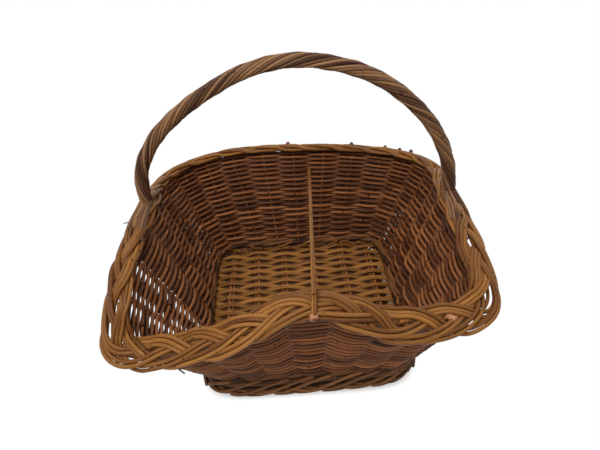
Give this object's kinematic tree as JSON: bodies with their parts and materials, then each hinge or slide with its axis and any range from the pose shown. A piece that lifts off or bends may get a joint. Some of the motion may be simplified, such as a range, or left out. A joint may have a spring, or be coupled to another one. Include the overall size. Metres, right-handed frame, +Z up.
{
  "type": "fruit basket",
  "caption": "Woven willow basket with a wavy plaited border, a roped bow handle over its length, a cross tie and a foot border, for carrying and showing fruit.",
  "frame": {"origin": "on the ground, under the middle of the basket's box", "axes": "+X along the handle to the right, +Y to the back, +Z up"},
  "size_m": [0.4262, 0.3948, 0.3768],
  "materials": {
    "border_willow": "golden brown steamed willow rods, satin",
    "wall_willow": "dark brown willow weavers, satin",
    "floor_willow": "golden brown willow weavers, satin",
    "handle_willow": "olive and red brown willow rods, satin",
    "foot_willow": "dark brown willow rods, satin"
  },
  "bodies": {
    "root": {"foot_border": "foot_willow", "upsett_wale": "foot_willow", "handle_bow": "wall_willow", "tie_lashing": "border_willow", "cross_tie": "border_willow", "floor_stick_1": "wall_willow", "floor_stick_2": "wall_willow", "floor_stick_3": "wall_willow", "floor_stick_4": "wall_willow", "floor_stick_5": "wall_willow", "floor_stick_6": "wall_willow", "floor_weave_01": "floor_willow", "floor_weave_02": "floor_willow", "floor_weave_03": "floor_willow", "floor_weave_04": "floor_willow", "floor_weave_05": "floor_willow", "floor_weave_06": "floor_willow", "floor_weave_07": "floor_willow", "floor_weave_08": "floor_willow", "floor_weave_09": "floor_willow", "floor_weave_10": "floor_willow", "side_stake_01": "wall_willow", "side_stake_02": "wall_willow", "side_stake_03": "wall_willow", "side_stake_04": "wall_willow", "side_stake_05": "wall_willow", "side_stake_06": "wall_willow", "side_stake_07": "wall_willow", "side_stake_08": "wall_willow", "side_stake_09": "wall_willow", "side_stake_10": "wall_willow", "side_stake_11": "wall_willow", "side_stake_12": "wall_willow", "side_stake_13": "wall_willow", "side_stake_14": "wall_willow", "side_stake_15": "wall_willow", "side_stake_16": "wall_willow", "side_stake_17": "wall_willow", "side_stake_18": "wall_willow", "side_stake_19": "wall_willow", "side_stake_20": "wall_willow", "side_stake_21": "wall_willow", "side_stake_22": "wall_willow", "wall_weave_1": "wall_willow", "wall_weave_2": "wall_willow", "wall_weave_3": "wall_willow", "wall_weave_4": "wall_willow", "wall_weave_5": "wall_willow", "wall_weave_6": "wall_willow", "wall_weave_7": "wall_willow", "wall_weave_8": "wall_willow", "border_strand_1": "border_willow", "border_strand_2": "border_willow", "border_strand_3": "border_willow", "handle_strand_1": "handle_willow", "handle_strand_2": "handle_willow", "handle_strand_3": "handle_willow", "handle_strand_4": "handle_willow"}
  },
  "joints": []
}
